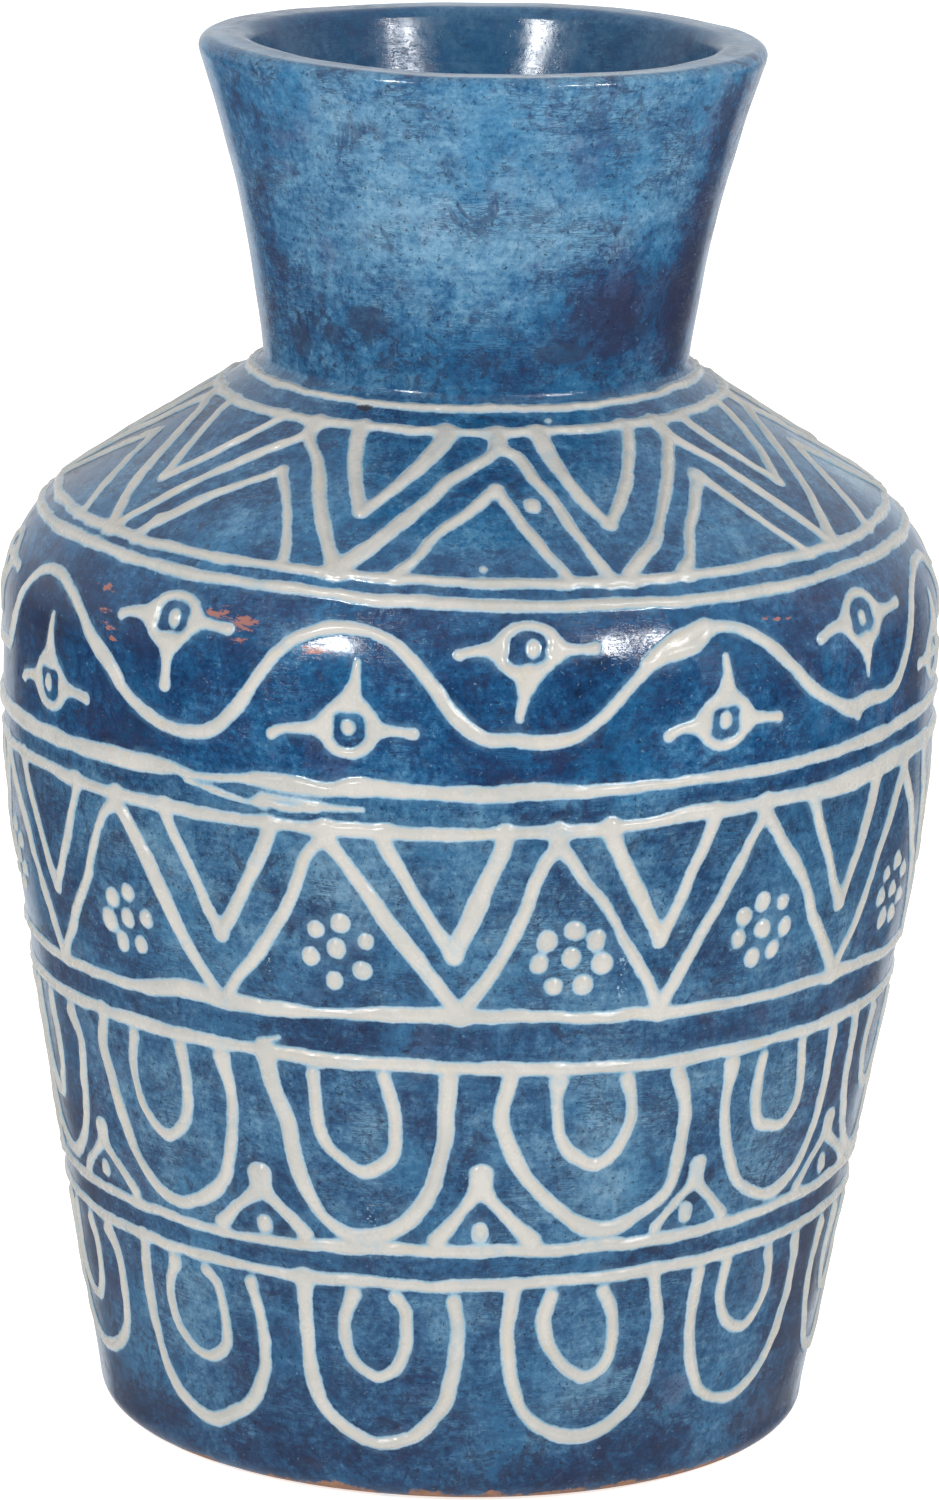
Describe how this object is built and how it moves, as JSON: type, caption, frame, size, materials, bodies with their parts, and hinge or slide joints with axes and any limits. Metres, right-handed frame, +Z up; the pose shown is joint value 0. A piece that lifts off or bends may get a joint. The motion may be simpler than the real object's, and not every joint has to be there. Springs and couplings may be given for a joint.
{
  "type": "talavera pottery vase",
  "caption": "Wide-bodied glazed earthenware vase with a sharp shoulder and a narrow flared neck, ringed by bands of raised slip lines.",
  "frame": {"origin": "centre of the flat foot, on the surface the vase stands on", "axes": "+Z up along the axis of revolution towards the mouth; -Y is the front of the decoration, with an arch of the neck band a few degrees to its right; +X to the right"},
  "size_m": [0.2694, 0.2694, 0.4],
  "materials": {
    "blue_glaze": "gloss",
    "cream_slip": "satin",
    "bare_terracotta": "matte"
  },
  "bodies": {
    "root": {"foot_slab": "bare_terracotta", "lower_wall": "blue_glaze", "belly_wall": "blue_glaze", "shoulder_wall": "blue_glaze", "shoulder_dome": "blue_glaze", "neck_and_lip": "blue_glaze", "neck_ring": "cream_slip", "chevron_top_ring": "cream_slip", "chevron_bottom_ring": "cream_slip", "vine_top_ring": "cream_slip", "vine_bottom_ring": "cream_slip", "zigzag_top_ring": "cream_slip", "zigzag_bottom_ring": "cream_slip", "upper_scallop_top_ring": "cream_slip", "upper_scallop_bottom_ring": "cream_slip", "lower_scallop_top_ring": "cream_slip", "chevron_arches": "cream_slip", "inner_chevrons": "cream_slip", "hanging_chevrons": "cream_slip", "stray_drops": "cream_slip", "vine": "cream_slip", "upper_flowers": "cream_slip", "lower_flowers": "cream_slip", "flower_eyes": "cream_slip", "zigzag": "cream_slip", "hanging_vees": "cream_slip", "dot_clusters": "cream_slip", "upper_scallops": "cream_slip", "upper_inner_scallops": "cream_slip", "tents": "cream_slip", "tent_dots": "cream_slip", "lower_scallops": "cream_slip", "lower_inner_scallops": "cream_slip"}
  },
  "joints": []
}
